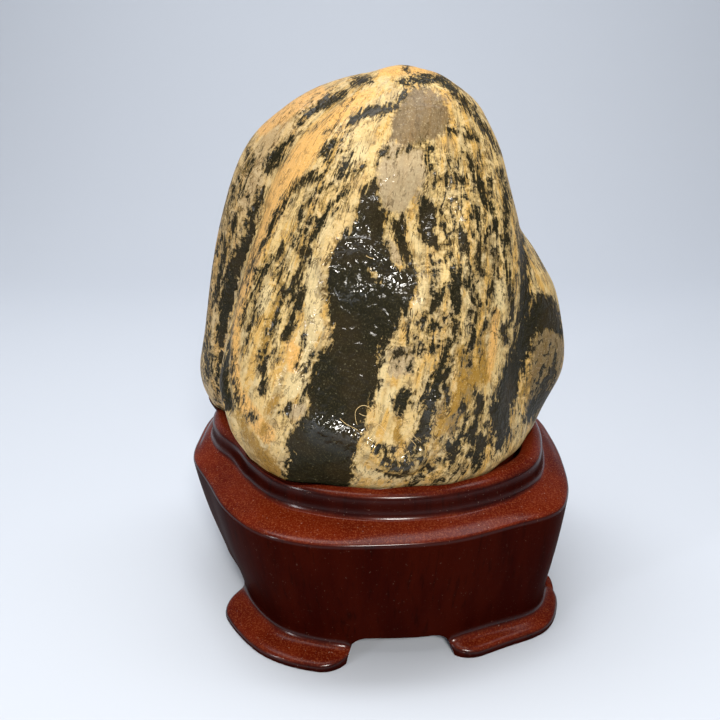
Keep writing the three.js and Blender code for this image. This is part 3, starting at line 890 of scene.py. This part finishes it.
def stone_material():
    s = Shader("stone")
    flow = s.attribute("flow", vector=True)
    place = s.place_mm()

    long_grain = s.noise(s.scaled(flow, (1.0, 1.0, 1.9)), 0.72, 5.0, 0.64, 1.3)
    crinkle = s.noise(place, 0.4, 4.0, 0.65, 0.9)
    grit = s.noise(place, 1.2, 3.0, 0.7)
    ragged = s.math("ADD", s.about_zero(long_grain, LONG_GRAIN_REACH), s.about_zero(crinkle, CRINKLE_REACH))
    ragged = s.math("ADD", ragged, s.about_zero(grit, GRIT_REACH))

    def mark(name, low, high, roughness=1.0, most=1.0):
        """Share of a mark's colour: none below low, most of it above high, with ragged edges."""
        share = s.ramp(s.math("MULTIPLY_ADD", ragged, roughness, s.attribute(name)), low, high)
        return share if most == 1.0 else s.math("MULTIPLY", share, most)

    # Cream ground with yellower and greyer drifts.
    drift = s.noise(s.scaled(flow, (1.0, 1.0, 1.4)), 0.3, 4.0, 0.6, 0.4)
    yellow_drift = s.noise(s.shifted(flow, (31.0, 7.0, 3.0)), 0.4, 4.0)
    shade = s.mix(s.ramp(drift, 0.46, 0.60), CREAM, GREYER_CREAM)
    shade = s.mix(s.ramp(yellow_drift, 0.50, 0.61), shade, YELLOWER_CREAM)
    shade = s.mix(s.ramp(crinkle, 0.5, 0.64, 0.0, 0.65), shade, BROWNER_CREAM)
    shade = s.mix(s.ramp(crinkle, 0.46, 0.34, 0.0, 0.5), shade, PALER_CREAM)
    shade = s.mix(mark("pale", -1.5, 2.5, 0.6), shade, PALE)
    shade = s.mix(mark("orange", -2.5, 2.5, 0.3), shade, ORANGE)
    shade = s.mix(mark("ochre", -3.0, 3.0, 0.6, 0.92), shade, OCHRE)
    shade = s.mix(mark("grey", -3.0, 2.0, 0.7, 0.85), shade, GREY)
    shade = s.mix(mark("brown", -3.5, 3.0, 0.8, 0.85), shade, BROWN)
    # Painted shade darkens the rear-left lobe toward a mauve brown.
    shade = s.mix(s.math("MULTIPLY", s.attribute("rear_shade"), 0.3), shade, REAR_SHADE)

    # Grains of quartz and brown mineral through the ground.
    speck = s.noise(place, 2.4, 3.0, 0.75)
    shade = s.mix(s.ramp(speck, 0.55, 0.68, 0.0, 0.45), shade, BROWN_GRAIN)
    shade = s.mix(s.ramp(speck, 0.45, 0.32, 0.0, 0.35), shade, QUARTZ_GRAIN)

    # Hair-thin dark veins wandering with the flow, most of them near the dark marks.
    winding = s.noise(s.scaled(flow, (1.0, 1.0, 2.0)), 0.42, 4.0, 0.6, 1.0)
    vein = s.ramp(s.math("ABSOLUTE", s.math("SUBTRACT", winding, 0.5)), 0.008, 0.026, 1.0, 0.0)
    vein = s.math("MULTIPLY", vein, s.ramp(crinkle, 0.40, 0.50))
    vein = s.math("MULTIPLY", vein, s.ramp(s.attribute("black"), -7.6, -5.0, 0.55, 1.0))
    shade = s.mix(vein, shade, VEIN)

    # The dark mineral: olive fringes, then greenish to brownish black with a fine pale speckle.
    olive = s.mix(s.ramp(long_grain, 0.45, 0.58), OLIVE, PALE_OLIVE)
    shade = s.mix(mark("black", -5.2, -0.5, 1.0, 0.72), shade, olive)
    black = mark("black", -0.9, 1.0)
    dark = s.mix(s.ramp(s.noise(place, 0.12, 2.0), 0.4, 0.62), GREEN_BLACK, BROWN_BLACK)
    dust = s.noise(place, 3.0, 3.0, 0.75)
    dark = s.mix(s.ramp(dust, 0.52, 0.68, 0.0, 0.55), dark, DARK_DUST)
    dark_speck = s.noise(s.shifted(place, (5.0, 9.0, 2.0)), 1.6, 3.0, 0.7)
    dark = s.mix(s.ramp(dark_speck, 0.62, 0.72, 0.0, 0.6), dark, DARK_SPECK)
    shade = s.mix(black, shade, dark)

    # A waxed polish: smooth on the cream, finely lumpy on the dark mineral and where the stone looks wet.
    wet = s.attribute("wet")
    lumps = s.noise(place, 0.5, 2.0, 0.45, 0.6)
    waves = s.noise(place, 0.3, 2.0, 0.5)
    lumpiness = s.math("MULTIPLY_ADD", wet, 0.7, s.ramp(black, 0.0, 1.0, 0.4, 1.0))
    normal = s.bump(waves, BUMP_HEIGHT, 0.5)
    normal = s.bump(s.math("MULTIPLY", lumps, lumpiness), BUMP_HEIGHT, 0.75, normal)
    facing = s.node("ShaderNodeLayerWeight", {"Blend": 0.5}).outputs["Facing"]
    polish = s.math("MULTIPLY", s.ramp(black, 0.0, 1.0, 0.4, 0.6), s.ramp(facing, 0.3, 0.8, 1.0, 0.25))
    polish = s.math("MULTIPLY", polish, s.ramp(s.up(), -0.35, 0.1, 0.4, 1.0))
    polish = s.math("MULTIPLY", polish, s.ramp(wet, 0.0, 1.0, 0.3, 1.65))
    s.finish(Base_Color=shade, Roughness=0.45, Normal=normal, Specular_IOR_Level=0.05,
             Coat_Weight=polish, Coat_Normal=normal, **POLISH_COAT)
    return s.material


# The stand's colours, in linear light.
WALL_RED = (0.021, 0.0017, 0.0007)
LIGHTER_WALL_RED = (0.032, 0.0030, 0.0010)
WOOD_LINE = (0.010, 0.0015, 0.0008)
# Reds for faces turned up: partly rubbed wear, partly painted light from above.
WORN_AND_LIT_RED = (0.082, 0.0055, 0.0013)
LIGHTER_WORN_AND_LIT_RED = (0.118, 0.0105, 0.0020)
WORN_GRIT = (0.24, 0.055, 0.018)
WOOD_DUST = (0.40, 0.26, 0.20)


def wood_material():
    s = Shader("stand_wood")
    place = s.place_mm()
    up = s.up()

    # Dark lacquered walls with upright lines; the walls' deep red is partly painted shade, the shaded copy
    # of the tops' red.
    upright = s.noise(s.scaled(place, (1.0, 1.0, 0.05)), 0.8, 4.0, 0.6)
    wide = s.noise(s.scaled(place, (1.0, 1.0, 0.12)), 0.12, 3.0)
    shade = s.mix(s.ramp(wide, 0.35, 0.65), WALL_RED, LIGHTER_WALL_RED)
    shade = s.mix(s.ramp(upright, 0.52, 0.72, 0.0, 0.6), shade, WOOD_LINE)

    # Faces turned up are redder and lighter, partly rubbed wear and partly painted light from above; they
    # are also gritty and a little dusty.
    rubbed = s.noise(place, 0.09, 3.0, 0.5)
    grit = s.noise(place, 2.4, 3.0, 0.75)
    lit_top_share = s.ramp(s.math("MULTIPLY_ADD", s.math("SUBTRACT", rubbed, 0.5), 0.5, up), 0.3, 0.95)
    worn_and_lit = s.mix(s.ramp(rubbed, 0.35, 0.65), WORN_AND_LIT_RED, LIGHTER_WORN_AND_LIT_RED)
    worn_and_lit = s.mix(s.ramp(grit, 0.48, 0.62, 0.0, 0.55), worn_and_lit, WORN_GRIT)
    shade = s.mix(lit_top_share, shade, worn_and_lit)
    dust = s.ramp(s.noise(s.shifted(place, (3.0, 8.0, 1.0)), 1.7, 2.0, 0.7), 0.68, 0.74)
    shade = s.mix(s.math("MULTIPLY", dust, s.ramp(up, -0.2, 0.8, 0.15, 0.6)), shade, WOOD_DUST)

    # The lacquer shines most along rounded edges.
    grain = s.noise(s.scaled(place, (1.0, 1.0, 0.15)), 1.2, 3.0, 0.6)
    normal = s.bump(grain, BUMP_HEIGHT / 4, 0.3)
    edge = s.math("SUBTRACT", s.ramp(up, -0.02, 0.4, 0.0, 0.65), s.ramp(up, 0.75, 0.98, 0.0, 0.53))
    s.finish(Base_Color=shade, Roughness=0.45, Normal=normal, Specular_IOR_Level=0.005,
             Coat_Weight=edge, Coat_Roughness=0.2, Coat_IOR=1.5, IOR=1.45)
    return s.material


def lint_material():
    s = Shader("lint")
    shade = s.mix(s.noise(s.place_mm(), 0.6), (0.75, 0.48, 0.16), (0.85, 0.66, 0.34))
    s.finish(Base_Color=shade, Roughness=0.5)
    return s.material


def backdrop_material():
    s = Shader("backdrop")
    patches = s.ramp(s.noise(s.place(), 1.3, 2.0), 0.3, 0.7)
    shade = s.mix(patches, (0.58, 0.62, 0.69), (0.595, 0.635, 0.70))
    s.finish(Base_Color=shade, Roughness=0.8)
    return s.material


# Curly fibres caught on the stone, as places in the view: each is a loose loop of these points.
LINT = [
    [(357, 424), (353, 412), (362, 404), (372, 408), (374, 416), (367, 424), (378, 421), (386, 430)],
    [(359, 413), (367, 417), (371, 412), (377, 407), (383, 412)],
    [(340, 418), (346, 424), (353, 427), (358, 430)],
    [(398, 448), (402, 455), (409, 450), (417, 446), (412, 440), (407, 436)],
    [(408, 430), (414, 436), (421, 442)],
    [(366, 256), (371, 260), (374, 258)],
]
LINT_RADIUS = 0.055
LINT_LIFT = 0.35  # how far the fibres stand off the stone on average, and how much that varies
RAY_START = 80.0


def on_stone(x, y):
    """Point on the stone seen at a place in the view, and the way out of its surface."""
    half = VIEW_SIDE / 2
    side, lift = (x - half) / FOCAL, (half - y) / FOCAL
    cosine, sine = math.cos(PITCH_DOWN), math.sin(PITCH_DOWN)
    ray = np.array([side, cosine + lift * sine, -sine + lift * cosine])
    ray /= np.linalg.norm(ray)
    travel = RAY_START
    for _ in range(200):
        gap = float(stone_distance((EYE + ray * travel)[None])[0])
        if gap < 0.01:
            break
        travel += max(0.6 * gap, 0.01)
    point = EYE + ray * travel
    step = 0.05
    slope = [stone_distance((point + step * axis)[None])[0] - stone_distance((point - step * axis)[None])[0]
             for axis in np.eye(3)]
    return point, np.array(slope) / np.linalg.norm(slope)


def build_lint():
    """Thin curly fibres that lie on the stone."""
    curves = bpy.data.curves.new("lint", "CURVE")
    curves.dimensions = "3D"
    curves.bevel_depth = LINT_RADIUS * MM
    curves.bevel_resolution = 1
    for fibre in LINT:
        spline = curves.splines.new("NURBS")
        spline.points.add(len(fibre) - 1)
        spline.use_endpoint_u = True
        spline.order_u = 3
        for k, (x, y) in enumerate(fibre):
            point, normal = on_stone(x, y)
            lifted = point + normal * LINT_LIFT * (1 + math.sin(2.1 * k))
            spline.points[k].co = (*(lifted * MM), 1)
    loose = bpy.data.objects.new("lint_curve", curves)
    scene.collection.objects.link(loose)
    bpy.context.view_layer.update()
    evaluated = loose.evaluated_get(bpy.context.evaluated_depsgraph_get())
    mesh = bpy.data.meshes.new_from_object(evaluated)
    mesh.name = "lint"
    bpy.data.objects.remove(loose)
    piece = bpy.data.objects.new("lint", mesh)
    scene.collection.objects.link(piece)
    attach(piece, "root")
    return piece


# The stage and the lamps are in metres.
FLOOR_HALF = 1.6
FLOOR_BACK = 0.35
CURVE_RADIUS = 0.4
WALL_TOP = 2.2


def build_stage():
    """A pale floor that curves up into a backdrop."""
    rows = [(-FLOOR_HALF, 0.0), (FLOOR_BACK, 0.0)]
    for turn in np.linspace(0.1, math.pi / 2, 12):
        rows.append((FLOOR_BACK + CURVE_RADIUS * math.sin(turn), CURVE_RADIUS * (1 - math.cos(turn))))
    rows.append((FLOOR_BACK + CURVE_RADIUS, WALL_TOP))
    points = np.array([(x, y, z) for y, z in rows for x in (-FLOOR_HALF, FLOOR_HALF)]) / MM
    faces = [[2 * i, 2 * i + 1, 2 * i + 3, 2 * i + 2] for i in range(len(rows) - 1)]
    floor = make_mesh("floor", points, faces)
    floor.data.materials.append(backdrop_material())


def add_light(name, place, target, size, power, colour):
    """A rectangular lamp that looks at its target; sizes in metres, power in watts."""
    lamp = bpy.data.lights.new(name, "AREA")
    lamp.shape = "RECTANGLE"
    lamp.size, lamp.size_y = size
    lamp.energy = power
    lamp.color = colour
    light = bpy.data.objects.new(name, lamp)
    light.location = place
    light.rotation_euler = (Vector(target) - Vector(place)).to_track_quat("-Z", "Y").to_euler()
    scene.collection.objects.link(light)


def build_light():
    world = bpy.data.worlds.new("world")
    world.use_nodes = True
    sky = world.node_tree.nodes["Background"].inputs
    sky["Color"].default_value = (0.78, 0.84, 0.95, 1)
    sky["Strength"].default_value = 0.12
    scene.world = world
    heart = (0, 0, 0.07)
    add_light("window", (0.05, -0.385, 0.305), heart, (0.09, 0.06), 1.45, (1, 0.96, 0.90))
    add_light("side window", (-0.42, -0.33, 0.18), heart, (0.03, 0.14), 0.5, (0.97, 0.98, 1))
    add_light("overhead", (-0.1, 0.0, 0.7), heart, (0.5, 0.5), 2.6, (1, 0.98, 0.94))
    add_light("backdrop", (0.0, 0.15, 1.0), (0, 0.6, 0.1), (1.2, 0.3), 6.2, (0.97, 0.98, 1))
    scene.view_settings.view_transform = "Standard"


def build_camera():
    camera_data = bpy.data.cameras.new("camera")
    camera_data.sensor_width = SENSOR_WIDTH
    camera_data.sensor_fit = "HORIZONTAL"
    camera_data.lens = FOCAL / VIEW_SIDE * SENSOR_WIDTH
    camera_data.clip_start = 0.01
    camera = bpy.data.objects.new("camera", camera_data)
    camera.location = EYE * MM
    camera.rotation_euler = (math.pi / 2 - PITCH_DOWN, 0, 0)
    scene.collection.objects.link(camera)
    scene.camera = camera


stone = build_stone()
stone.data.materials.append(stone_material())
stand = build_stand()
stand.data.materials.append(wood_material())
lint = build_lint()
lint.data.materials.clear()
lint.data.materials.append(lint_material())
build_stage()
build_light()
build_camera()

bpy.context.view_layer.update()
